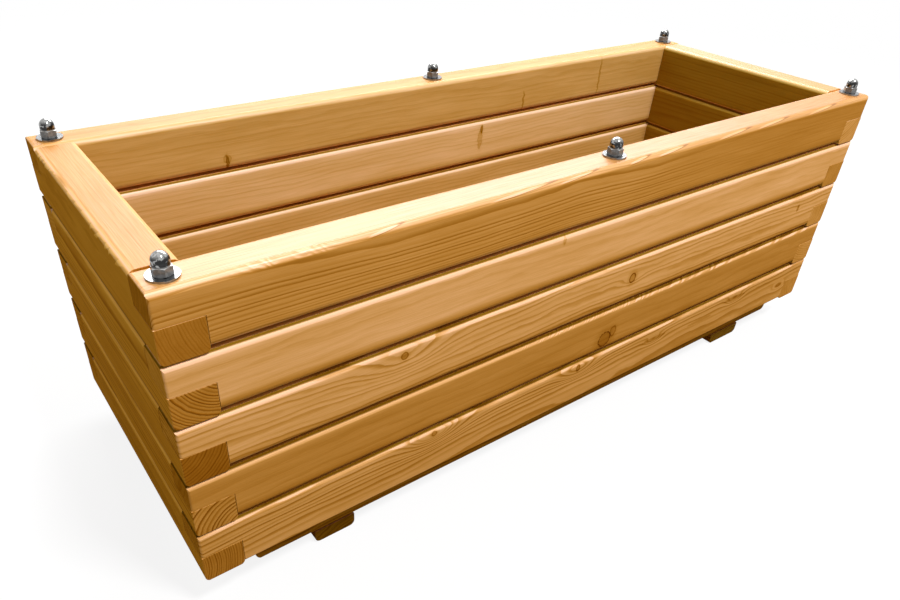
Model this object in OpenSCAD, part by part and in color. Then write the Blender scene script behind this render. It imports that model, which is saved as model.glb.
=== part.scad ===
// Wooden planter: a long open box of stacked planed rails.
// The end rails are notched into the long rails at the corners, and six threaded rods clamp the stacks.
// Origin: on the ground under the middle. +X runs to the right, +Y to the back, +Z up. Millimetres.

/* [Overall] */
// Length over the end faces
planter_l = 1100; // [700:10:1600]
// Width over the front and back faces
planter_w = 400; // [300:5:600]

/* [Rails] */
// Thickness of every rail
rail_t = 44; // [36:1:56]
// Height of one front or back rail
rail_h = 66; // [58:1:90]
// Open joint between one front or back rail and the next
rail_gap = 4; // [2:0.5:6]
// Radius of the planed arrises
arris_r = 7; // [2:0.5:9]
// Radius of the lower arrises of the bottom front and back rails
base_arris_r = 2; // [1:0.5:7]
// Radius of the outer edges at the front and back rails' ends
rail_end_r = 3; // [1:0.5:5]
// Radius of the end edges that meet in the notched joints
joint_r = 1; // [0.5:0.5:2]
// Height of a long rail's end that is left to lie over the tongue
lap_h = 33; // [24:1:36]
// Play between one end rail and the next
end_rail_play = 0.5; // [0.2:0.1:1]
// Play at the upright shoulders of the notched corners
shoulder_play = 0.3; // [0.1:0.1:0.8]

/* [Rods and nuts] */
// Diameter of the threaded rods
rod_d = 10; // [6:1:12]
// Play of a rod in the rails and washers, on the diameter
rod_play = 1; // [0.5:0.1:1.8]
// Play of a rod in its nuts, on the diameter
thread_play = 0.3; // [0.1:0.1:0.6]
// Chamfer at each end of a rod
rod_chamfer = 1; // [0.5:0.1:2]
// Diameter of the washers on the top
washer_d = 28; // [22:1:30]
// Thickness of the washers
washer_t = 2; // [1:0.5:3]
// Width of the nuts across their flats
nut_af = 16; // [15:1:19]
// Height of the hexagon of a nut
nut_h = 8; // [6:0.5:10]
// Diameter of the dome of a cap nut
dome_d = 15.6; // [14:0.2:16]
// Height of a cap nut with its dome
cap_nut_h = 20; // [18:0.5:22]
// Depth of the bore in a cap nut
cap_bore = 13; // [10:0.5:14]
// Distance from the end of a rod to the end of that bore
rod_end_gap = 1; // [0.5:0.5:3]
// Diameter of the recesses for the bottom nuts
recess_d = 24; // [23:1:28]
// Diameter of the washers in the recesses
recess_washer_d = 20; // [19:1:22]
// How far the bottom nuts sit up inside their recesses
nut_sink = 3; // [2:0.5:6]
// How far the rods' lower ends sit up inside the recesses
rod_sink = 1; // [0.5:0.5:2]

/* [Floor] */
// Thickness of the floor boards
floor_t = 28; // [18:1:36]
// Distance from the front or back face in to the floor's edge
floor_setback = 13; // [6:1:20]
// Distance from an end face in to the floor boards' ends
floor_end_setback = 60; // [50:1:120]
// Drainage gap between the floor boards
board_gap = 4; // [2:0.5:10]
// Radius of the floor boards' arrises
board_arris_r = 5; // [2:0.5:8]
// Radius of the floor boards' lower end corners
board_end_r = 14; // [5:1:16]

/* [Feet] */
// Height of the feet
foot_h = 18; // [15:1:40]
// Distance from the left end face in to the outer side of the left foot
left_foot_inset = 134; // [100:1:200]
// Distance from the right end face in to the outer side of the right foot
right_foot_inset = 137; // [100:1:200]
// Width of the left foot
left_foot_w = 53; // [30:1:90]
// Width of the right foot
right_foot_w = 72; // [30:1:90]
// Radius of the feet's lower arrises
foot_arris_r = 7; // [2:0.5:7]

/* [Screws] */
// Diameter of the screws
screw_d = 5; // [4:0.5:6]
// Diameter of the screws' countersunk heads
screw_head_d = 9.5; // [8:0.5:11]
// Length of the screws from the floor up into the bottom rails
floor_screw_l = 55; // [45:1:65]
// Length of the screws from the feet up into the floor
foot_screw_l = 35; // [30:1:38]
// How far a screw's head is sunk under the surface
screw_sink = 0.5; // [0.2:0.1:2]
// Play round a screw, on the diameter
screw_play = 0.3; // [0.2:0.1:0.6]
// Length of a screw's point
screw_point_l = 6; // [3:1:10]
// Distance from the floor boards' ends in to the first screw
screw_end_inset = 40; // [25:1:80]
// Distance from one foot screw to the other in the same board
foot_screw_pitch = 70; // [40:1:80]

/* [Hidden] */
$fn = 48;

// Rails in each stack. Rail 1 is the top one.
layers = 5;
// Floor boards side by side
boards = 3;
// Screws along each outer floor board
screws_per_side = 4;
// Sides of the planter, as signs along X or Y
LEFT = -1;
MIDDLE = 0;
RIGHT = 1;
FRONT = -1;
BACK = 1;
// Every rod, with its side along X and along Y and the turn at which its cap nut came to rest
RODS = [
    ["front_left_rod", LEFT, FRONT, 27], ["front_middle_rod", MIDDLE, FRONT, 10],
    ["front_right_rod", RIGHT, FRONT, 40],
    ["back_left_rod", LEFT, BACK, 15], ["back_middle_rod", MIDDLE, BACK, 50],
    ["back_right_rod", RIGHT, BACK, 35]
];
// How far a cut runs past a surface
past = 1;

half_l = planter_l / 2;
half_w = planter_w / 2;
layer_h = rail_h + rail_gap;
wall_z = foot_h + floor_t;
wall_top = wall_z + layers * layer_h - rail_gap;
notch_l = rail_t + shoulder_play;
end_rail_h = layer_h - end_rail_play;
tongue_h = rail_gap + rail_h - lap_h;
rod_x = half_l - rail_t / 2;
rod_y = half_w - rail_t / 2;
recess_h = washer_t + nut_h + nut_sink;
floor_l = planter_l - 2 * floor_end_setback;
floor_w = planter_w - 2 * floor_setback;
board_w = (floor_w - (boards - 1) * board_gap) / boards;
board_pitch = board_w + board_gap;
// The outer floor boards' screws stand in the middle of what lies under the long rails
floor_screw_y = half_w - (rail_t + floor_setback) / 2;
floor_screw_x = floor_l / 2 - screw_end_inset;
screw_pitch = 2 * floor_screw_x / (screws_per_side - 1);

// Height of the underside of a front or back rail
function rail_z(layer) = wall_z + (layers - layer) * layer_h;
// Height of the underside of an end rail, which fills the open joint below the long rails
function end_rail_z(layer) = rail_z(layer) - rail_gap;
// Height of the mouth of a bottom nut's recess: the corner nuts are in the end rails' tongues
function recess_z(x_side) = x_side == MIDDLE ? rail_z(layers) : end_rail_z(layers);
// Middle line of a foot
function foot_x(x_side) = x_side * (half_l - foot_inset(x_side) - foot_w(x_side) / 2);
function foot_inset(x_side) = x_side == LEFT ? left_foot_inset : right_foot_inset;
function foot_w(x_side) = x_side == LEFT ? left_foot_w : right_foot_w;

// Outline centred on x, from y = 0, with its two upper corners rounded by top_r and its two lower ones by low_r
module round_outline(width, height, top_r, low_r) {
    half = width / 2;
    translate([-half, low_r]) square([width, height - low_r - top_r]);
    translate([low_r - half, 0]) square([width - 2 * low_r, height / 2]);
    translate([top_r - half, height / 2]) square([width - 2 * top_r, height / 2]);
    for (side = [-1, 1]) {
        translate([side * (half - low_r), low_r]) circle(r = low_r);
        translate([side * (half - top_r), height - top_r]) circle(r = top_r);
    }
}

// Outline with square upper corners and round lower ones, centred on x, from y = 0
module round_bottomed_outline(width, height, r) {
    half = width / 2;
    translate([-half, r]) square([width, height - r]);
    translate([r - half, 0]) square([width - 2 * r, height]);
    for (side = [-1, 1]) {
        translate([side * (half - r), r]) circle(r = r);
    }
}

// Outline of a rail from the side: its ends are end_h high, from end_z up, and the rest has the full height
module notched_outline(length, height, end_z, end_h, top_r, low_r) {
    translate([0, end_z]) round_outline(length, end_h, top_r, low_r);
    translate([notch_l - length / 2, 0]) square([length - 2 * notch_l, height]);
}

// Runs an outline in x and z along Y, centred
module along_y(length) {
    translate([0, length / 2, 0]) rotate([90, 0, 0]) linear_extrude(length) children();
}

// Runs an outline in y and z along X, centred
module along_x(length) {
    translate([-length / 2, 0, 0]) rotate([90, 0, 90]) linear_extrude(length) children();
}

// Drilled way of one rod through the stacked rails
module rod_hole(x_side, y_side) {
    translate([x_side * rod_x, y_side * rod_y, 0])
        cylinder(h = wall_top + past, d = rod_d + rod_play);
}

// Recess for a bottom nut and its washer
module nut_recess(x_side, y_side) {
    translate([x_side * rod_x, y_side * rod_y, recess_z(x_side) - past])
        cylinder(h = recess_h + past, d = recess_d);
}

// Front or back rail, cut away below at both ends over the end rails' tongues.
// Its outlines from the end, from the side and from above are run through each other.
module long_rail(layer, y_side) {
    low_r = layer == layers ? base_arris_r : arris_r;
    front_r = y_side == FRONT ? rail_end_r : joint_r;
    back_r = y_side == FRONT ? joint_r : rail_end_r;
    color([0.86, 0.66, 0.40]) difference() {
        translate([0, y_side * rod_y, rail_z(layer)]) intersection() {
            along_x(planter_l) round_outline(rail_t, rail_h, arris_r, low_r);
            along_y(rail_t) notched_outline(planter_l, rail_h, rail_h - lap_h, lap_h, rail_end_r, joint_r);
            translate([0, -rail_t / 2, 0]) linear_extrude(rail_h) round_outline(planter_l, rail_t, back_r, front_r);
        }
        for (x_side = [LEFT, MIDDLE, RIGHT]) {
            rod_hole(x_side, y_side);
        }
        if (layer == layers) {
            nut_recess(MIDDLE, y_side);
        }
    }
}

// End rail, cut away above at both ends so that a tongue runs out to the front and back faces
module end_rail(layer, x_side) {
    color([0.80, 0.60, 0.36]) difference() {
        translate([x_side * rod_x, 0, end_rail_z(layer)]) intersection() {
            along_y(planter_w) round_outline(rail_t, end_rail_h, arris_r, arris_r);
            along_x(rail_t) notched_outline(planter_w, end_rail_h, 0, tongue_h, joint_r, joint_r);
            translate([0, -half_w, 0]) linear_extrude(end_rail_h) round_outline(rail_t, planter_w, joint_r, joint_r);
        }
        for (y_side = [FRONT, BACK]) {
            rod_hole(x_side, y_side);
            if (layer == layers) {
                nut_recess(x_side, y_side);
            }
        }
    }
}

// Half section of a screw that points up from z = 0, grown by the play round it
module screw_section(length, grow) {
    head_h = (screw_head_d - screw_d) / 2;
    polygon([
        [0, 0],
        [(screw_head_d + grow) / 2, 0],
        [(screw_d + grow) / 2, head_h],
        [(screw_d + grow) / 2, length - screw_point_l + grow],
        [grow / 2, length + grow],
        [0, length + grow]
    ]);
}

// Countersunk screw that points up, with its head's face at z = 0
module screw(length) {
    rotate_extrude() screw_section(length, 0);
}

// Drilled and countersunk way of a screw, open below
module screw_hole(length) {
    rotate_extrude() screw_section(length, screw_play);
    translate([0, 0, -screw_sink - past])
        cylinder(h = screw_sink + past, d = screw_head_d + screw_play);
}

// Places of the screws that hold one outer floor board up to its long rail
module at_floor_screws(y_side) {
    for (i = [0:screws_per_side - 1]) {
        translate([-floor_screw_x + i * screw_pitch, y_side * floor_screw_y, foot_h + screw_sink])
            children();
    }
}

// Places of the screws that hold one foot up to one floor board
module at_foot_screws(x_side, board) {
    for (end = [-1, 1]) {
        translate([foot_x(x_side), board * board_pitch + end * foot_screw_pitch / 2, screw_sink])
            children();
    }
}

// Bottom front or back rail's own holes for the floor screws
module drilled_long_rail(layer, y_side) {
    if (layer == layers) {
        difference() {
            long_rail(layer, y_side);
            at_floor_screws(y_side) screw_hole(floor_screw_l);
        }
    } else {
        long_rail(layer, y_side);
    }
}

// Floor board along the length: board is -1 at the front, 0 in the middle and 1 at the back
module floor_board(board) {
    color([0.66, 0.48, 0.28]) difference() {
        translate([0, board * board_pitch, foot_h]) intersection() {
            along_x(floor_l) round_outline(board_w, floor_t, board_arris_r, board_arris_r);
            along_y(board_w) round_bottomed_outline(floor_l, floor_t, board_end_r);
        }
        if (board != 0) {
            at_floor_screws(board) screw_hole(floor_screw_l);
        }
        for (x_side = [LEFT, RIGHT]) {
            at_foot_screws(x_side, board) screw_hole(foot_screw_l);
        }
    }
}

// Foot: a bearer across the floor, rounded at its two lower arrises
module foot(x_side) {
    color([0.55, 0.40, 0.24]) difference() {
        translate([foot_x(x_side), 0, 0])
            along_y(floor_w) round_bottomed_outline(foot_w(x_side), foot_h, foot_arris_r);
        for (board = [-1:1]) {
            at_foot_screws(x_side, board) screw_hole(foot_screw_l);
        }
    }
}

// Threaded rod, from inside its bottom recess up into its cap nut
module rod(x_side, y_side) {
    low = recess_z(x_side) + rod_sink;
    high = wall_top + washer_t + cap_bore - rod_end_gap;
    r = rod_d / 2;
    color([0.62, 0.63, 0.65]) translate([x_side * rod_x, y_side * rod_y, 0])
        rotate_extrude() polygon([
            [0, low],
            [r - rod_chamfer, low],
            [r, low + rod_chamfer],
            [r, high - rod_chamfer],
            [r - rod_chamfer, high],
            [0, high]
        ]);
}

// Round washer from z = 0
module washer(d) {
    difference() {
        cylinder(h = washer_t, d = d);
        translate([0, 0, -past]) cylinder(h = washer_t + 2 * past, d = rod_d + rod_play);
    }
}

// Hexagon of a nut, with its corners turned off at both faces
module nut_hexagon() {
    corner_d = nut_af / cos(30);
    turned_h = (corner_d - nut_af) / 2 * tan(30);
    intersection() {
        cylinder(h = nut_h, d = corner_d, $fn = 6);
        rotate_extrude() polygon([
            [0, 0],
            [nut_af / 2, 0],
            [corner_d / 2, turned_h],
            [corner_d / 2, nut_h - turned_h],
            [nut_af / 2, nut_h],
            [0, nut_h]
        ]);
    }
}

// Bore in a nut for the rod's thread
module nut_bore(depth) {
    translate([0, 0, -past]) cylinder(h = depth + past, d = rod_d + thread_play);
}

// Cap nut: a hexagon under a round dome, bored from below
module cap_nut() {
    dome_z = cap_nut_h - dome_d / 2;
    difference() {
        union() {
            nut_hexagon();
            cylinder(h = dome_z, d = dome_d);
            translate([0, 0, dome_z]) sphere(d = dome_d);
        }
        nut_bore(cap_bore);
    }
}

module plain_nut() {
    difference() {
        nut_hexagon();
        nut_bore(nut_h + past);
    }
}

module cap_nuts() {
    color([0.72, 0.72, 0.70]) for (r = RODS) {
        translate([r[1] * rod_x, r[2] * rod_y, wall_top + washer_t]) rotate([0, 0, r[3]]) cap_nut();
    }
}

module top_washers() {
    color([0.66, 0.66, 0.64]) for (r = RODS) {
        translate([r[1] * rod_x, r[2] * rod_y, wall_top]) washer(washer_d);
    }
}

module bottom_nuts() {
    color([0.60, 0.60, 0.60]) for (r = RODS) {
        translate([r[1] * rod_x, r[2] * rod_y, recess_z(r[1]) + nut_sink]) plain_nut();
    }
}

module bottom_washers() {
    color([0.56, 0.56, 0.56]) for (r = RODS) {
        translate([r[1] * rod_x, r[2] * rod_y, recess_z(r[1]) + nut_sink + nut_h]) washer(recess_washer_d);
    }
}

module floor_screws() {
    color([0.70, 0.62, 0.38]) for (y_side = [FRONT, BACK]) {
        at_floor_screws(y_side) screw(floor_screw_l);
    }
}

module foot_screws() {
    color([0.70, 0.62, 0.38]) for (x_side = [LEFT, RIGHT], board = [-1:1]) {
        at_foot_screws(x_side, board) screw(foot_screw_l);
    }
}

for (layer = [1:layers]) {
    drilled_long_rail(layer, FRONT);
    drilled_long_rail(layer, BACK);
    end_rail(layer, LEFT);
    end_rail(layer, RIGHT);
}
floor_board(-1);  // front_floor_board
floor_board(0);  // middle_floor_board
floor_board(1);  // back_floor_board
foot(LEFT);  // left_foot
foot(RIGHT);  // right_foot
for (r = RODS) {
    rod(r[1], r[2]);
}
cap_nuts();
top_washers();
bottom_nuts();
bottom_washers();
floor_screws();
foot_screws();
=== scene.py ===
import math

import bpy
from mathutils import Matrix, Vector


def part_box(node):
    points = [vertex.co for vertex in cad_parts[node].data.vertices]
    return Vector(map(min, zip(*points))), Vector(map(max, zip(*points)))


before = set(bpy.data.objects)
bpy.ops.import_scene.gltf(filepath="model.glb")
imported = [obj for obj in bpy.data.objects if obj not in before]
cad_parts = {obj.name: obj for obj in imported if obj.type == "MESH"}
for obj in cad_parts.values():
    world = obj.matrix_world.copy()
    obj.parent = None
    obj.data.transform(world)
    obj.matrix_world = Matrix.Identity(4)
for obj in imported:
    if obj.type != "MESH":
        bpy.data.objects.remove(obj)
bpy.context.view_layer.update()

# Feet: two cross bearers of planed softwood under the floor, screwed up into the boards.
# They are the lowest wood, with the grain running from front to back and both lower arrises rounded.
MM = 1000.0
PLAIN = (1.0, 1.0, 1.0)
FOOT_RING = 4.0
FOOT_TINT = (0.85, 1.25, 2.5)
RIGHT_FOOT_TINT = (0.95, 1.6, 6.0)
FOOT_END_STAIN = 0.3


class Nodes:
    """Writes nodes into one tree. An input may be a plain number, a colour or another node's socket."""

    def __init__(self, tree):
        self.tree = tree

    def join(self, value, socket):
        if isinstance(value, bpy.types.NodeSocket):
            self.tree.links.new(value, socket)
        elif isinstance(value, tuple) and len(value) == 3 and socket.type == "RGBA":
            socket.default_value = (*value, 1.0)
        else:
            socket.default_value = value

    def node(self, kind, output=0, inputs=(), **settings):
        """One node of that kind: its settings are set, its inputs joined by name or number."""
        made = self.tree.nodes.new(kind)
        for key, value in settings.items():
            setattr(made, key, value)
        for key, value in dict(inputs).items():
            self.join(value, made.inputs[key])
        return made.outputs[output]

    def math(self, operation, *values):
        return self.node("ShaderNodeMath", 0, enumerate(values), operation=operation)

    def add(self, *values):
        total = values[0]
        for value in values[1:]:
            total = self.math("ADD", total, value)
        return total

    def times(self, *values):
        product = values[0]
        for value in values[1:]:
            product = self.math("MULTIPLY", product, value)
        return product

    def minus(self, a, b):
        return self.math("SUBTRACT", a, b)

    def hypot(self, a, b):
        """The length of the way that goes a along one axis and b along another."""
        return self.math("SQRT", self.add(self.times(a, a), self.times(b, b)))

    def place(self, x, y, z):
        return self.node("ShaderNodeCombineXYZ", 0, {"X": x, "Y": y, "Z": z})

    def split(self, vector):
        """The parts of a vector, by the letters X, Y and Z."""
        return self.node("ShaderNodeSeparateXYZ", 0, {0: vector}).node.outputs

    def rise(self, value, low, high, to_low=0.0, to_high=1.0):
        """Smooth step: to_low up to low, to_high past high."""
        inputs = {"Value": value, "From Min": low, "From Max": high, "To Min": to_low, "To Max": to_high}
        return self.node("ShaderNodeMapRange", 0, inputs, interpolation_type="SMOOTHSTEP")

    def stretch(self, value, start, stop, soft):
        """1 from start to stop and 0 elsewhere, with ends that fade over soft on each side."""
        return self.times(self.rise(value, start - soft, start + soft),
                          self.rise(value, stop - soft, stop + soft, 1.0, 0.0))

    def noise(self, place, scale=1.0, detail=2.0):
        """Noise from 0 to 1 over a vector."""
        inputs = {"Vector": place, "Scale": scale, "Detail": detail}
        return self.node("ShaderNodeTexNoise", "Fac", inputs, noise_dimensions="3D")

    def drift(self, value, length, shift, detail=1.0):
        """Noise from 0 to 1 that changes along a value over about that length."""
        inputs = {"W": self.add(self.times(value, 1 / length), shift), "Scale": 1.0, "Detail": detail}
        return self.node("ShaderNodeTexNoise", "Fac", inputs, noise_dimensions="1D")

    def around(self, noise, size):
        """Noise moved to swing about 0, by half the size either way."""
        return self.times(self.minus(noise, 0.5), size)


class Finish(Nodes):
    """Writes the nodes of one new material."""

    def __init__(self, name):
        self.material = bpy.data.materials.new(name)
        self.material.use_nodes = True
        super().__init__(self.material.node_tree)
        self.shader = self.tree.nodes["Principled BSDF"]


# A name that rise() unpacks holds from and to, and also the values there if it has four numbers.
SQUARE_ON = (0.75, 0.95)
TURNED = (0.5, 0.9)
ARRIS_TURN = (0.04, 0.36)
FRONT_OR_LEFT = (-10.0, -6.0, 1.0, 0.0)


class Wood(Finish):
    """The nodes of one wooden piece. Places are in mm from the piece's middle: along the fibre, across it
    and up. round_arris is how far a point lies round the front or left upper arris, from the top towards
    the face. The rest are masks, 1 on what they are named after and 0 elsewhere."""

    def __init__(self, name, node, fibre, inward):
        super().__init__(name)
        low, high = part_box(node)
        middle = (low + high) / 2 * MM
        half = (high - low) / 2 * MM
        here = self.split(self.node("ShaderNodeTexCoord", "Object"))
        x = self.minus(self.times(here["X"], MM), middle.x)
        y = self.minus(self.times(here["Y"], MM), middle.y)
        facing = self.split(self.node("ShaderNodeTexCoord", "Normal"))
        if fibre == "X":
            self.along, self.across, half_across = x, y, half.y
            lengthwise, sideways = facing["X"], facing["Y"]
        else:
            self.along, self.across, half_across = y, x, half.x
            lengthwise, sideways = facing["Y"], facing["X"]
        self.up = self.minus(self.times(here["Z"], MM), middle.z)
        self.from_top = self.minus(half.z, self.up)
        self.from_bottom = self.add(self.up, half.z)
        self.round_arris = self.minus(self.from_top, self.add(half_across, self.across))
        self.facing_up = facing["Z"]
        level = self.add(self.math("ABSOLUTE", sideways), self.math("ABSOLUTE", lengthwise))
        self.arris = self.rise(self.times(level, self.facing_up), *ARRIS_TURN)
        self.front_or_left = self.rise(self.across, *FRONT_OR_LEFT)
        self.top = self.rise(self.facing_up, *TURNED)
        self.ends = self.rise(self.math("ABSOLUTE", lengthwise), *SQUARE_ON)
        self.right_end = self.rise(lengthwise, *SQUARE_ON)
        looks_in = self.times(sideways, inward)
        self.inner = self.rise(looks_in, *TURNED)
        self.outer = self.rise(self.times(looks_in, -1.0), *TURNED)

    def grain(self, lengths, shift=0.0, detail=2.0):
        """Noise from 0 to 1, stretched over (along, across, up) mm."""
        along, across, up = lengths
        return self.noise(self.place(self.add(self.times(self.along, 1 / along), shift),
                                     self.times(self.across, 1 / across), self.times(self.up, 1 / up)),
                          1.0, detail)


# How fast a knot's push fades along the fibre and up, and the knot's rim and core as offsets from its edge.
PUSH_FADES = (0.10, 0.55)
PUSH_SPREAD = 0.6
PUSH_SWELL = 1.1
STREAK_FROM = 3.0
STREAK_LENGTH = 6.0
STREAK_CROOK = 5.0
STREAK_DETAIL = 2.0
KNOT_NOISE_SCALE = 0.3
KNOT_UNEVEN = 0.45
RIM_INSIDE = (-1.8, -0.4)
RIM_OUTSIDE = (0.0, 1.2)
CORE_EDGE = (-0.8, 0.2)
HALO_REACH = 2.4
HALO_STAIN = 0.16


def knots_in(w, knots, seed):
    """What knots do to a piece: the heights with the rings drawn apart, the rings' swelling, and stain."""
    heights, swelling, marks = w.up, 0.0, 0.0
    for along, up, core, push, tall, dark, fill in knots:
        a = w.minus(w.along, along)
        b = w.minus(w.up, up)
        if push > 0.0:
            near = w.add(*(w.times(way, way, fades / push ** 2) for way, fades in zip((a, b), PUSH_FADES)))
            pushes = w.math("EXPONENT", w.times(near, -1.0))
            heights = w.minus(heights, w.times(b, pushes, PUSH_SPREAD))
            swelling = w.add(swelling, w.times(pushes, PUSH_SWELL * push))
        if tall > STREAK_FROM:
            a = w.add(a, w.around(w.drift(w.up, STREAK_LENGTH, along, STREAK_DETAIL), STREAK_CROOK))
        uneven = w.around(w.noise(w.place(w.along, w.up, seed), KNOT_NOISE_SCALE), KNOT_UNEVEN * core)
        d = w.add(w.hypot(a, w.times(b, 1 / tall)), uneven)
        rim = w.times(w.rise(d, core + RIM_INSIDE[0], core + RIM_INSIDE[1]),
                      w.rise(d, core + RIM_OUTSIDE[0], core + RIM_OUTSIDE[1], 1.0, 0.0))
        filled = w.rise(d, core + CORE_EDGE[0], core + CORE_EDGE[1], fill, 0.0)
        halo = w.rise(d, core, HALO_REACH * core, HALO_STAIN, 0.0)
        marks = w.add(marks, w.times(w.add(w.math("MAXIMUM", rim, filled), halo), dark))
    return heights, swelling, marks


SWAY_ACROSS = 310.0
SWAY_UP = 270.0
OTHER_SEED = 7.3
RIPPLE_LENGTHS = (70.0, 16.0, 16.0)
RIPPLE_DETAIL = 3.0
RIPPLE = 1.5
UNEVEN_OVER = 4.0
UNEVEN = 2.4
LATE_RISES = (0.35, 0.86)
LATE_STOPS = (0.90, 1.0, 1.0, 0.0)
YEARS_ALIKE = 1 / 0.73
YEAR_BOLDNESS = (0.30, 0.72, 0.25, 1.0)


def latewood(w, pith, ring, sway, lean, wild, heights, swelling, seed):
    """How dark each growth ring is, from 0 to 1: each darkens slowly outwards and stops sharply."""
    sway_across = w.around(w.drift(w.along, SWAY_ACROSS, seed), 2.0 * sway)
    sway_up = w.around(w.drift(w.along, SWAY_UP, seed + OTHER_SEED), 2.0 * sway)
    from_pith = w.hypot(w.add(w.minus(w.across, pith[0]), sway_across),
                        w.add(w.minus(heights, pith[1]), sway_up, w.times(w.along, -lean)))
    radius = w.add(from_pith, swelling)
    ripple = w.around(w.grain(RIPPLE_LENGTHS, seed, RIPPLE_DETAIL), RIPPLE * ring * wild)
    uneven = w.around(w.drift(radius, UNEVEN_OVER * ring, seed), UNEVEN * ring * wild)
    turns = w.math("DIVIDE", w.add(radius, ripple, uneven), ring)
    share = w.math("FRACT", turns)
    year = w.drift(w.math("FLOOR", turns), YEARS_ALIKE, seed)
    return w.times(w.rise(share, *LATE_RISES), w.rise(share, *LATE_STOPS), w.rise(year, *YEAR_BOLDNESS))


TEETH_VARY_OVER = 1.7
CHIPS_VARY = 2.2
CHIP_FADE = 20.0
CHIP_PATCHES_OVER = 2.6
CHIP_PATCHES = (0.32, 0.54)
CHIP_SEED = 3.9
CHIP_PALE = (0.40, 0.55)
CHIP_DARK = (0.50, 0.70)
CHIP_DARK_SHARE = 0.5
CHIP_SIDE = (8.0, 12.0)


def teeth(w, pitch, slant, vary, seed):
    """A saw pattern from 0 to 1 along the fibre, of uneven pitch, that slants with the height."""
    wander = w.times(w.drift(w.along, TEETH_VARY_OVER * pitch, seed), vary)
    return w.math("FRACT", w.add(w.times(w.add(w.along, w.times(w.up, slant)), 1 / pitch), wander))


def torn_arris(w, seed, start, stop, pitch, slant, level, side):
    """Stain of one torn stretch of an upper arris: pale chips, each with a darker side."""
    tooth = teeth(w, pitch, slant, CHIPS_VARY, seed)
    patches = w.rise(w.drift(w.along, CHIP_PATCHES_OVER * pitch, seed + CHIP_SEED), *CHIP_PATCHES)
    chips = w.add(w.rise(tooth, *CHIP_PALE, -level, 0.0),
                  w.rise(tooth, *CHIP_DARK, 0.0, CHIP_DARK_SHARE * level))
    near_side = w.rise(w.times(w.across, side), *CHIP_SIDE)
    return w.times(chips, w.stretch(w.along, start, stop, CHIP_FADE), patches, near_side, w.arris)


FLAME_SLOPE = 3.5
FLAME_HALF_HEIGHT = 2.4
FLAME_BELOW = -0.5
FLAME_PALE = (0.7, 1.0, -1.3, 0.0)
FLAME_EDGE_RISES = (0.75, 1.0)
FLAME_EDGE_STOPS = (1.0, 1.45, 1.0, 0.0)
FLAME_EDGE_SIDE = (-0.3, 0.7)
FLAME_EDGE_STAIN = 2.6


def flame(w, start, stop):
    """Stain of one long pale lens on the front or left upper arris, dark along its lower edge."""
    u = w.times(w.minus(w.along, (start + stop) / 2), 2 / (stop - start))
    v = w.times(w.add(w.round_arris, w.times(u, FLAME_SLOPE), FLAME_BELOW), 1 / FLAME_HALF_HEIGHT)
    d = w.hypot(u, v)
    edge = w.times(w.rise(d, *FLAME_EDGE_RISES), w.rise(d, *FLAME_EDGE_STOPS),
                   w.rise(w.add(u, v), *FLAME_EDGE_SIDE))
    return w.times(w.add(w.rise(d, *FLAME_PALE), w.times(edge, FLAME_EDGE_STAIN)), w.front_or_left)


COMB_SLANT = 0.7
COMB_VARIES = 2.0
COMB_LENGTHS_OVER = 2.3
COMB_LENGTHS = (0.35, 0.65, 2.0, 11.0)
COMB_EDGE = (-1.0, 2.4)
COMB_FADE = 15.0
COMB_TOP = (-6.0, -2.0)
COMB_STAIN = -1.7


def comb(w, seed, start, stop, pitch):
    """Stain of one stretch of pale teeth that hang from the front or left upper arris."""
    tooth = teeth(w, pitch, COMB_SLANT, COMB_VARIES, seed)
    length = w.rise(w.drift(w.along, COMB_LENGTHS_OVER * pitch, seed), *COMB_LENGTHS)
    hanging = w.rise(w.minus(w.times(tooth, length), w.round_arris), *COMB_EDGE)
    return w.times(hanging, w.stretch(w.along, start, stop, COMB_FADE), w.front_or_left,
                   w.rise(w.round_arris, *COMB_TOP), COMB_STAIN)


# The colour of bare wood, what one step of stain keeps of it, and what adds to the stain. Besides stain,
# grain and wear, the terms below paint shade and light near joints, tops, undersides, lower edges and
# arrises.
BARE_WOOD = (0.715, 0.360, 0.112)
STAIN_KEEPS = (0.785, 0.708, 0.441)
# These two give painted shade: a duller, darker colour over the band at the top of a rail that lies in a
# joint.
JOINT_SHADE_TINT = (0.64, 0.62, 0.92)
JOINT_SHADE_TINT_FROM = (0.1, 0.7)
PALEST = -1.3
FIBRE_LENGTHS = (38.0, 0.9, 0.9)
FIBRE_STAIN = -0.9
CLOUD_LENGTHS = (160.0, 26.0, 22.0)
CLOUD_STAIN = -1.2
LATE_STAIN = 2.4
LATE_ON_ENDS = 1.7
FADE_OVER = 250.0
FADE_KEEPS = 0.2
FADE_STAIN = 0.65
# The upper arrises get a paler colour: partly wear, partly a painted highlight.
WORN_AND_HIGHLIGHT = 1.1
# Painted shade on the tops: a deeper colour on faces that look up, which offsets the strong light falling on
# them.
TOP_PAINTED_SHADE = (0.70, 0.98, 0.0, 0.75)
# Painted light under each rail: faces that look down get a paler colour, which lifts the shade there.
UNDER_PAINTED_LIGHT = (-0.90, -0.20, -1.8, 0.0)
# Over this height above the bottom, in mm, painted shade along a rail's lower edge fades out.
LOW_EDGE = (5.0, 15.0)
# The band at the top of a rail that lies in a joint, and the painted shade that deepens its colour.
JOINT_EDGE = (1.4, 2.8)
PAINTED_JOINT_SHADE = (0.0, 1.2, 0.4, 2.0)
# Painted highlight: the face just below the top of a rail that lies in a joint gets paler, which widens the
# lit arris.
BELOW_JOINT = (5.0, 13.0)
BELOW_JOINT_HIGHLIGHT = -0.6
# The coat, which is thickest on the top, the roughness and the relief.
FILM = (0.10, 0.60)
THINNEST_FILM = 0.02
FILM_OVER_FIBRES = 0.9
FILM_OVER_LATE = -0.25
COAT_ROUGHNESS = 0.48
COAT_IOR = 1.80
ROUGHNESS = 0.62
LATE_ROUGHER = 0.08
FIBRES_ROUGHER = 0.16
LATE_HEIGHT = (-0.5, 1.2)
FIBRE_HEIGHT = 0.9
RELIEF_STRENGTH = 0.4
RELIEF = 0.0004
NEVER = 9999.0


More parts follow.
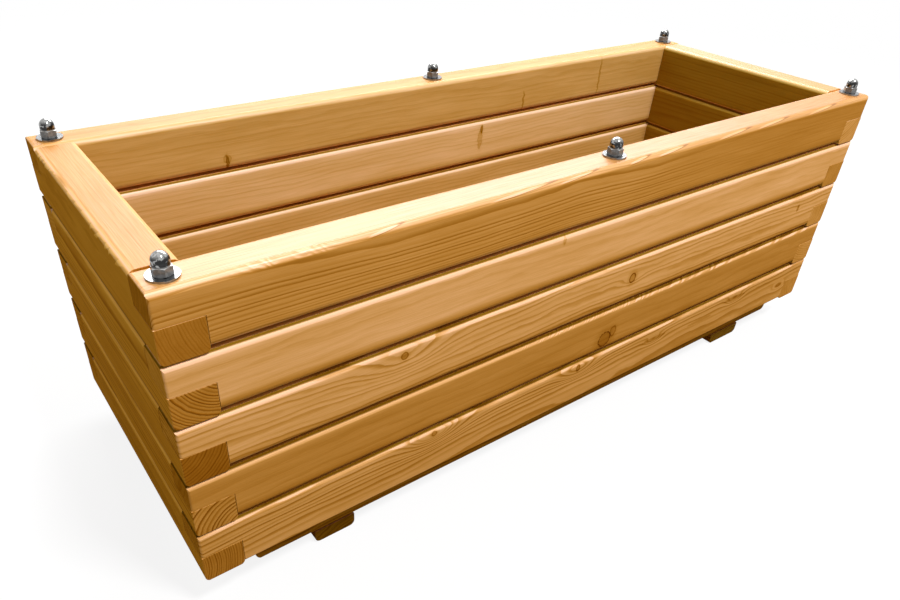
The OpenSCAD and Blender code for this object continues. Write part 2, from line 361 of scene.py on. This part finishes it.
def softwood(name, node, fibre, pith, ring, bold=1.0, stain=0.0, seed=0.0, ends=(1.4, PLAIN),
             right_tint=PLAIN, inner=(0.0, PLAIN), outer=(0.0, PLAIN), inward=0, sway=6.0, lean=0.0,
             wild=1.0, joint=0.0, low_edge_shade=0.0, gloss=1.0, fades_from=NEVER, lighter_top=None, knots=(),
             torn=(), flames=(), combed=()):
    """Planed and stained softwood, cut from one log.
    The growth rings are tubes round the pith, which lies at pith = (sideways, upwards) in mm from the
    piece's middle and runs along the fibre. ring is their spacing, and bold is how strongly they show. The
    pith leans upwards by lean and sways by up to sway mm, wild makes the rings uneven, and the rings fade
    past fades_from.
    The colour is BARE_WOOD * STAIN_KEEPS ** depth. stain adds to the depth everywhere, and low_edge_shade
    adds painted shade along the lower edge. ends, inner and outer are (depth, tint) of the sawn ends, of the
    face that looks into the box, which is the way inward, and of the face that looks out of it; where those
    faces lie in shade or catch light bounced inside the box, these are partly painted shade and painted
    light.
    right_tint is one more tint, of the end at the right or back. joint is 1 where another piece lies on the
    top: then shade is painted into the joint band and a highlight onto the face just below it.
    lighter_top = (from, to, depth) takes that depth off the top before from, and nothing past to.
    knots holds rows of knot(), and gloss is how much coat lies on the top. torn holds rows of
    (from, to, pitch, slant, depth, side) for stretches where the plane tore an upper arris, which is the
    front or left one at side -1. flames holds rows of (from, to) for pale lenses with a dark lower edge, and
    combed rows of (from, to, pitch) for pale teeth, both on the front or left upper arris."""
    w = Wood(name, node, fibre, inward)
    heights, swelling, marks = knots_in(w, knots, seed)
    faded = w.rise(w.along, fades_from, fades_from + FADE_OVER)
    late = w.times(latewood(w, pith, ring, sway, lean, wild, heights, swelling, seed), bold,
                   w.rise(w.ends, 0.0, 1.0, 1.0, LATE_ON_ENDS), w.rise(faded, 0.0, 1.0, 1.0, FADE_KEEPS))
    fibres = w.around(w.grain(FIBRE_LENGTHS), 1.0)
    cloud = w.around(w.grain(CLOUD_LENGTHS, seed), CLOUD_STAIN)
    not_ends = w.minus(1.0, w.ends)

    faces = ((w.ends, ends), (w.right_end, (0.0, right_tint)), (w.inner, inner), (w.outer, outer))
    in_joint = w.rise(w.from_top, *JOINT_EDGE, joint, 0.0)
    # Besides stain, grain, knots and wear, depth holds painted shade in the joint band, along the lower edge,
    # on the tops and on the far end's inside faces, and painted light on the undersides, the arrises and just
    # below the joint.
    depth = w.add(stain, w.times(late, LATE_STAIN), w.times(faded, FADE_STAIN), w.times(fibres, FIBRE_STAIN),
                  cloud, w.times(w.arris, -WORN_AND_HIGHLIGHT), marks, w.rise(w.from_bottom, *LOW_EDGE, low_edge_shade, 0.0),
                  w.rise(w.facing_up, *TOP_PAINTED_SHADE), w.rise(w.facing_up, *UNDER_PAINTED_LIGHT),
                  w.times(in_joint, w.rise(w.from_top, *PAINTED_JOINT_SHADE)),
                  w.times(w.rise(w.from_top, *BELOW_JOINT, BELOW_JOINT_HIGHLIGHT * joint, 0.0), not_ends),
                  *(w.times(face, face_stain) for face, (face_stain, tint) in faces),
                  *(torn_arris(w, seed, *row) for row in torn),
                  *(flame(w, *row) for row in flames),
                  *(comb(w, seed, *row) for row in combed))
    if lighter_top:
        start, stop, less = lighter_top
        depth = w.minus(depth, w.times(w.rise(w.along, start, stop, less, 0.0), w.top))
    depth = w.math("MAXIMUM", depth, PALEST)

    # Painted shade: the joint band also takes a duller colour.
    joint_shaded = w.times(in_joint, w.rise(w.from_top, *JOINT_SHADE_TINT_FROM))
    parts = [w.times(w.math("POWER", keeps, depth), bare, w.minus(1.0, w.times(joint_shaded, shade_tint)))
             for bare, keeps, shade_tint in zip(BARE_WOOD, STAIN_KEEPS, JOINT_SHADE_TINT)]
    # Face tints: on shaded faces they are painted shade, and on faces that look into the box they paint out
    # bounced light.
    for face, (face_stain, tint) in faces:
        parts = [w.times(part, w.rise(face, 0.0, 1.0, 1.0, keep)) for part, keep in zip(parts, tint)]
    colour = w.node("ShaderNodeCombineColor", 0, enumerate(parts))
    w.join(colour, w.shader.inputs["Base Color"])

    film = w.times(w.rise(w.facing_up, *FILM, THINNEST_FILM, gloss), not_ends, w.minus(1.0, in_joint))
    thin = w.add(1.0, w.times(fibres, FILM_OVER_FIBRES), w.times(late, FILM_OVER_LATE))
    w.join(w.times(film, thin), w.shader.inputs["Coat Weight"])
    w.shader.inputs["Coat Roughness"].default_value = COAT_ROUGHNESS
    w.shader.inputs["Coat IOR"].default_value = COAT_IOR
    w.shader.inputs["Specular IOR Level"].default_value = 0.0
    rough = w.add(ROUGHNESS, w.times(late, LATE_ROUGHER), w.times(fibres, FIBRES_ROUGHER))
    w.join(rough, w.shader.inputs["Roughness"])
    height = w.add(w.times(late, w.rise(w.ends, 0.0, 1.0, *LATE_HEIGHT)), w.times(fibres, FIBRE_HEIGHT))
    relief = {"Strength": RELIEF_STRENGTH, "Distance": RELIEF, "Height": height}
    w.join(w.node("ShaderNodeBump", 0, relief), w.shader.inputs["Normal"])
    return w.material


def dress(node, material):
    """Gives a CAD node its material in every slot."""
    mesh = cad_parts[node].data
    mesh.materials.clear()
    mesh.materials.append(material)


for node, pith, stain, tint, seed in (("left_foot", (30, -60), 5.4, FOOT_TINT, 3.1),
                                      ("right_foot", (30, -40), 5.0, RIGHT_FOOT_TINT, 8.1)):
    dress(node, softwood("foot_wood_" + node, node, "Y", pith, FOOT_RING, stain=stain, seed=seed,
                         ends=(FOOT_END_STAIN, tint)))

# Floor: three planed boards along the length, held up to the bottom rails by screws from beneath.
# Narrow gaps between them let the water out.
FLOOR_RING = 4.5
FLOOR_STAIN = 3.2
FLOOR_TINT = (1.0, 1.1, 0.6)
FLOOR_LIGHTER_TOP = (600.0, 700.0, 1.9)
for node, pith, seed in (("front_floor_board", (20, -90), 11.7), ("middle_floor_board", (-10, -90), 14.7),
                         ("back_floor_board", (-40, -90), 17.7)):
    dress(node, softwood("floor_wood_" + node, node, "X", pith, FLOOR_RING, stain=FLOOR_STAIN, seed=seed,
                         outer=(0.0, FLOOR_TINT), inward=1, lighter_top=FLOOR_LIGHTER_TOP))

# Long rails: ten planed and stained softwood rails, five to a side, cut away below at both ends.
# Each comes from its own log, so the rings, their boldness, the knots and the tone differ from rail to rail.
# Painted light: faces that look into the box get a cooler tint that takes out the red added by light bouncing
# between the walls.
INSIDE_BOUNCE_TINT = (0.88, 1.06, 1.25)
# Painted shade: the sawn ends get a dull olive tint for the shade on the left end; RIGHT_SAWN_TINT takes most
# of it off again at the right ends.
SAWN_SHADE_TINT = (1.0, 0.95, 0.45)
RIGHT_SAWN_TINT = (0.95, 1.05, 1.9)
SAWN_STAIN = 0.8
LOWER_RAIL_GLOSS = 0.78


def knot(along, up, core, push=0.0, tall=1.0, dark=4.0, fill=0.6):
    """One knot, in mm from the rail's middle: half its width, how far it pushes the rings, its height to
    its width, its stain and how much of that lies inside its rim."""
    return along, up, core, push, tall, dark, fill


def layer(node, lower_gloss):
    """What sets the top layer apart from the four below it, which have a joint above them."""
    if node.endswith("1"):
        return {"joint": 0.0, "gloss": 1.0}
    return {"joint": 1.0, "gloss": lower_gloss}


LONG_RAILS = {
    # On this rail the lighter top towards the left end is a painted sheen.
    "front_rail_1": dict(
        pith=(60, 38), ring=1.9, bold=0.80, stain=0.9, seed=1.3, sway=3.0, wild=0.45, low_edge_shade=0.3,
        fades_from=-20.0, lighter_top=(-480.0, -50.0, 0.7), torn=((-470, -390, 10.0, 2.0, 1.0, -1),),
        flames=((-352, -312), (-212, -118), (-110, -50), (2, 40), (52, 108), (170, 240), (255, 328),
                (378, 452))),
    "front_rail_2": dict(
        pith=(60, -95), ring=9.0, bold=0.22, stain=-0.10, seed=8.2, low_edge_shade=1.8,
        knots=(knot(-85, 26, 1.8, tall=2.5, dark=1.0),)),
    "front_rail_3": dict(
        pith=(30, -110), ring=7.0, bold=0.75, stain=0.05, seed=15.4, low_edge_shade=1.2,
        knots=(knot(-305, 19, 4.4, push=16.0, dark=3.0, fill=0.45),
               knot(61, 2, 5.6, push=7.0, tall=1.25, fill=0.2),
               knot(453, 10, 2.2, push=3.0, tall=2.0, dark=2.0))),
    "front_rail_4": dict(
        pith=(60, 60), ring=8.0, bold=0.20, stain=1.40, seed=23.9, low_edge_shade=0.8,
        torn=((-130, 50, 8.0, -2.0, 0.7, -1), (60, 130, 12.0, -2.0, 1.4, -1),
              (150, 300, 23.0, -3.0, 1.5, -1), (320, 545, 38.0, -4.0, 1.3, -1)),
        knots=(knot(30, -15, 11.5, dark=4.2, fill=0.24), knot(45, -7, 5.5, tall=1.5, dark=2.0, fill=0.2))),
    "front_rail_5": dict(
        pith=(58, -34), ring=3.4, stain=0.55, seed=31.2, sway=3.0, wild=0.6, lean=0.03,
        knots=(knot(-258, 25, 3.4, push=12.0, dark=2.2, fill=0.3),
               knot(-13, 23, 3.0, push=10.0, tall=1.6, dark=3.2, fill=0.4),
               knot(150, 11, 26.0, push=6.0, tall=0.13, dark=1.2, fill=0.9),
               knot(262, 3, 30.0, tall=0.09, dark=0.9, fill=0.9),
               knot(350, 17, 28.0, push=7.0, tall=0.12, dark=1.3, fill=0.9),
               knot(486, -2, 9.0, push=6.0, tall=0.30, dark=0.9, fill=0.9))),
    "back_rail_1": dict(
        pith=(-50, -90), ring=8.0, bold=0.20, stain=0.60, seed=41.5, gloss=0.64,
        knots=(knot(-336, -24, 1.6, tall=4.0, dark=2.6), knot(-336, -20, 5.0, dark=0.9, fill=0.5),
               knot(169, -18, 1.2, tall=8.0, dark=1.4), knot(343, -1, 1.4, tall=14.0, dark=1.2))),
    "back_rail_2": dict(
        pith=(-40, -100), ring=7.0, bold=0.18, stain=-0.25, seed=47.1, low_edge_shade=1.0,
        knots=(knot(86, 19, 1.9, tall=2.6, dark=2.8), knot(84, 4, 4.0, tall=3.5, dark=1.0, fill=0.7))),
    "back_rail_3": dict(pith=(-30, -120), ring=6.0, bold=0.25, stain=0.40, seed=53.8, low_edge_shade=1.0),
    "back_rail_4": dict(pith=(20, 90), ring=6.0, bold=0.40, stain=0.80, seed=61.0, low_edge_shade=0.8),
    "back_rail_5": dict(pith=(35, -80), ring=5.0, bold=0.60, stain=0.80, seed=67.3),
}
for node, cut in LONG_RAILS.items():
    inward = 1 if node.startswith("front") else -1
    cut = {**layer(node, LOWER_RAIL_GLOSS), **cut}
    dress(node, softwood("wood_" + node, node, "X", ends=(SAWN_STAIN, SAWN_SHADE_TINT), right_tint=RIGHT_SAWN_TINT,
                         inner=(0.0, INSIDE_BOUNCE_TINT), inward=inward, **cut))

# End rails: ten shorter rails between the long ones, with a tongue at each end.
# The tongues run right out to the front and back faces, so they show their growth rings there.
# Painted shade: the left end rails' outer faces get a dull olive tint for the shade they lie in.
SHADED_SIDE_TINT = (1.0, 0.93, 0.27)
# Painted shade: the right end rails' inside faces get a deeper stain and a dull olive tint for the shade they
# lie in.
FAR_INSIDE_SHADE_TINT = (0.80, 1.06, 0.6)
LOWER_END_GLOSS = 0.1
GROWN_STRAIGHT = {"sway": 3.0, "wild": 0.4}
LEFT_FACES = {"inward": 1, "inner": (0.2, INSIDE_BOUNCE_TINT), "outer": (0.0, SHADED_SIDE_TINT)}
# The inner depth and tint on this line are painted shade.
RIGHT_FACES = {"inward": -1, "inner": (1.1, FAR_INSIDE_SHADE_TINT), "outer": (-0.4, PLAIN)}
END_RAILS = {
    "left_end_rail_1": dict(pith=(80, 10), ring=2.7, bold=0.25, stain=0.8, ends=(1.6, PLAIN), seed=2.7,
                            wild=0.9, gloss=0.64, combed=((70, 180, 12.0), (-170, 40, 22.0))),
    "left_end_rail_2": dict(pith=(34, 22), ring=3.4, bold=0.90, stain=0.7, ends=(1.1, PLAIN), seed=9.9),
    "left_end_rail_3": dict(pith=(-34, 16), ring=3.6, bold=0.50, stain=1.0, ends=(2.4, PLAIN), seed=17.2),
    "left_end_rail_4": dict(pith=(30, -46), ring=5.0, bold=0.90, stain=1.1, ends=(0.2, PLAIN), seed=25.5),
    "left_end_rail_5": dict(pith=(-80, -10), ring=2.6, bold=0.60, stain=1.2, ends=(1.1, PLAIN), seed=33.6),
    "right_end_rail_1": dict(pith=(-40, 50), ring=5.0, bold=0.30, stain=1.0, ends=(-0.6, PLAIN), seed=43.3),
    "right_end_rail_2": dict(pith=(50, -30), ring=4.0, bold=0.30, stain=1.2, ends=(0.0, PLAIN), seed=49.2),
    "right_end_rail_3": dict(pith=(-60, -10), ring=5.0, bold=0.30, stain=1.2, ends=(-0.4, PLAIN), seed=55.7),
    "right_end_rail_4": dict(pith=(20, 60), ring=4.0, bold=0.30, stain=1.2, ends=(-0.4, PLAIN), seed=63.1),
    "right_end_rail_5": dict(pith=(45, 10), ring=3.6, bold=0.30, stain=1.2, ends=(0.0, PLAIN), seed=69.4),
}
for node, cut in END_RAILS.items():
    faces = LEFT_FACES if node.startswith("left") else RIGHT_FACES
    cut = {**GROWN_STRAIGHT, **layer(node, LOWER_END_GLOSS), **faces, **cut}
    dress(node, softwood("wood_" + node, node, "Y", **cut))

# Rods, nuts, washers and screws: zinc-plated steel, with bright cap nuts over the rods' upper ends.
# The rods clamp each stack, and only the cap nuts and their washers show from above.
ZINC = (0.60, 0.61, 0.63)
CHROME = (0.50, 0.50, 0.49)
WASHER = (0.33, 0.34, 0.35)
YELLOW_ZINC = (0.50, 0.40, 0.20)
RODS = ("front_left_rod", "front_middle_rod", "front_right_rod",
        "back_left_rod", "back_middle_rod", "back_right_rod")
BLOTCHES = (0.42, 0.58)
BLOTCH_DETAIL = 3.0
WORN_SMOOTH = (0.3, 0.7)
SMOOTHER = 0.7
DOME_FOOT = 403.0
DOME_FOOT_SOFT = 0.4
# Painted reflections on the cap nuts: the dome's sides are darkened, spots in it are left bright as painted
# glints, and the hexagon's sides are painted in shade.
DOME_PAINTED_REFLECTION = (0.30, 0.85, 0.90, 0.0)
PAINTED_GLINTS = (0.54, 0.60, 1.0, 0.35)
HEXAGON_PAINTED_SHADE = (0.10, 0.40, 0.62, 0.0)
HEXAGON_METALLIC = 0.12


def metal(name, colour, rough, mottle, scale=240.0, dome_foot=None):
    """Bare or plated steel, with blotches in its colour and gloss. Above the height dome_foot, in mm, the
    metal is polished, with a painted dark reflection on its sides and painted glints, and below it lies
    the less metallic hexagon, with painted shade on its sides."""
    f = Finish(name)
    here = f.node("ShaderNodeTexCoord", "Object")
    blotch = f.noise(here, scale, BLOTCH_DETAIL)
    shade = f.rise(blotch, *BLOTCHES, 1.0 - mottle, 1.0)
    f.shader.inputs["Metallic"].default_value = 1.0
    if dome_foot:
        facing_up = f.split(f.node("ShaderNodeTexCoord", "Normal"))["Z"]
        height = f.times(f.split(here)["Z"], MM)
        on_dome = f.rise(height, dome_foot - DOME_FOOT_SOFT, dome_foot + DOME_FOOT_SOFT)
        # Painted dark reflection on the dome's sides, with painted glints, and painted shade on the hexagon's
        # sides.
        dark = f.times(f.rise(facing_up, *DOME_PAINTED_REFLECTION), f.rise(blotch, *PAINTED_GLINTS), on_dome)
        hexagon_shade = f.times(f.rise(facing_up, *HEXAGON_PAINTED_SHADE), f.minus(1.0, on_dome))
        shade = f.times(shade, f.minus(1.0, f.add(dark, hexagon_shade)))
        f.join(f.rise(on_dome, 0.0, 1.0, HEXAGON_METALLIC, 1.0), f.shader.inputs["Metallic"])
    scaled = f.node("ShaderNodeVectorMath", 0, {0: colour, "Scale": shade}, operation="SCALE")
    f.join(scaled, f.shader.inputs["Base Color"])
    f.join(f.rise(blotch, *WORN_SMOOTH, rough, rough * SMOOTHER), f.shader.inputs["Roughness"])
    return f.material


steel = metal("rod_steel", ZINC, rough=0.38, mottle=0.25)
for node in RODS:
    dress(node, steel)
dress("cap_nuts", metal("cap_nut_chrome", CHROME, rough=0.14, mottle=0.30, scale=330.0, dome_foot=DOME_FOOT))
dress("top_washers", metal("washer_zinc", WASHER, rough=0.26, mottle=0.30))
dress("bottom_nuts", steel)
dress("bottom_washers", steel)
for node in ("floor_screws", "foot_screws"):
    dress(node, metal(node + "_zinc", YELLOW_ZINC, rough=0.35, mottle=0.3))

# Ground, light and camera: a white ground that keeps the planter's shadow, and soft light from above.
# The camera stands where the photograph was taken from.
WHITE = (1.0, 1.0, 1.0)
GROUND_SIZE = 30.0
GROUND_SHADOWED = (0.9, 0.9, 0.9)
GROUND_BOUNCE = (0.34, 0.33, 0.31)
GROUND_SHOWN = 0.86
GROUND_FADE = (0.9, 3.0)
SKY_LEVEL = 0.34


def seen(n):
    """1 for what the camera sees itself or in a mirror surface, 0 for light that only bounces."""
    path = n.node("ShaderNodeLightPath").node
    direct = n.math("MAXIMUM", path.outputs["Is Camera Ray"], path.outputs["Is Glossy Ray"])
    return n.math("MAXIMUM", direct, path.outputs["Is Transmission Ray"])


def ground():
    half = GROUND_SIZE / 2
    corners = [(-half, -half, 0.0), (half, -half, 0.0), (half, half, 0.0), (-half, half, 0.0)]
    mesh = bpy.data.meshes.new("ground")
    mesh.from_pydata(corners, [], [(0, 1, 2, 3)])
    plane = bpy.data.objects.new("ground", mesh)
    bpy.context.scene.collection.objects.link(plane)
    f = Finish("ground_white")
    f.tree.nodes.remove(f.shader)
    here = f.node("ShaderNodeTexCoord", "Object")
    from_planter = f.node("ShaderNodeVectorMath", 1, {0: here}, operation="LENGTH")
    share = f.rise(from_planter, *GROUND_FADE, GROUND_SHOWN, 1.0)
    shadowed = f.node("ShaderNodeBsdfDiffuse", 0, {"Color": GROUND_SHADOWED})
    plain = f.node("ShaderNodeEmission", 0, {"Color": WHITE, "Strength": 1.0})
    shown = f.node("ShaderNodeMixShader", 0, {0: share, 1: shadowed, 2: plain})
    bounce = f.node("ShaderNodeBsdfDiffuse", 0, {"Color": GROUND_BOUNCE})
    surface = f.node("ShaderNodeMixShader", 0, {0: seen(f), 1: bounce, 2: shown})
    f.join(surface, f.tree.nodes["Material Output"].inputs["Surface"])
    mesh.materials.append(f.material)


def sky():
    world = bpy.data.worlds.new("studio")
    bpy.context.scene.world = world
    world.use_nodes = True
    n = Nodes(world.node_tree)
    back = n.tree.nodes["Background"]
    n.join(WHITE, back.inputs["Color"])
    n.join(n.rise(seen(n), 0.0, 1.0, SKY_LEVEL, 1.0), back.inputs["Strength"])


def softbox(name, at, target, width, height, power):
    """Oblong area light at a point, turned towards its target."""
    data = bpy.data.lights.new(name, "AREA")
    data.shape = "RECTANGLE"
    data.energy = power
    data.size = width
    data.size_y = height
    lamp = bpy.data.objects.new(name, data)
    bpy.context.scene.collection.objects.link(lamp)
    lamp.location = at
    way = Vector(target) - Vector(at)
    lamp.rotation_euler = way.to_track_quat("-Z", "Y").to_euler()


ground()
sky()
softbox("key_light", at=(0.45, -1.85, 3.9), target=(0.0, 0.0, 0.25), width=0.7, height=0.7, power=172.0)
softbox("sheen_light", at=(1.12, 1.88, 2.19), target=(-0.3, -0.15, 0.392), width=3.2, height=1.2, power=138.0)

CAMERA_AT = (-0.66153, -0.69555, 0.68728)
CAMERA_TURN = (54.215, -2.6124, -36.0804)
SENSOR = 36.0
LENS = 28.7577
SHIFT = (0.02452, 0.0548)
NEAREST = 0.01
camera_data = bpy.data.cameras.new("camera")
camera_data.sensor_width = SENSOR
camera_data.lens = LENS
camera_data.shift_x, camera_data.shift_y = SHIFT
camera_data.clip_start = NEAREST
camera = bpy.data.objects.new("camera", camera_data)
bpy.context.scene.collection.objects.link(camera)
camera.location = CAMERA_AT
camera.rotation_euler = [math.radians(a) for a in CAMERA_TURN]
bpy.context.scene.camera = camera
bpy.context.scene.view_settings.view_transform = "Standard"
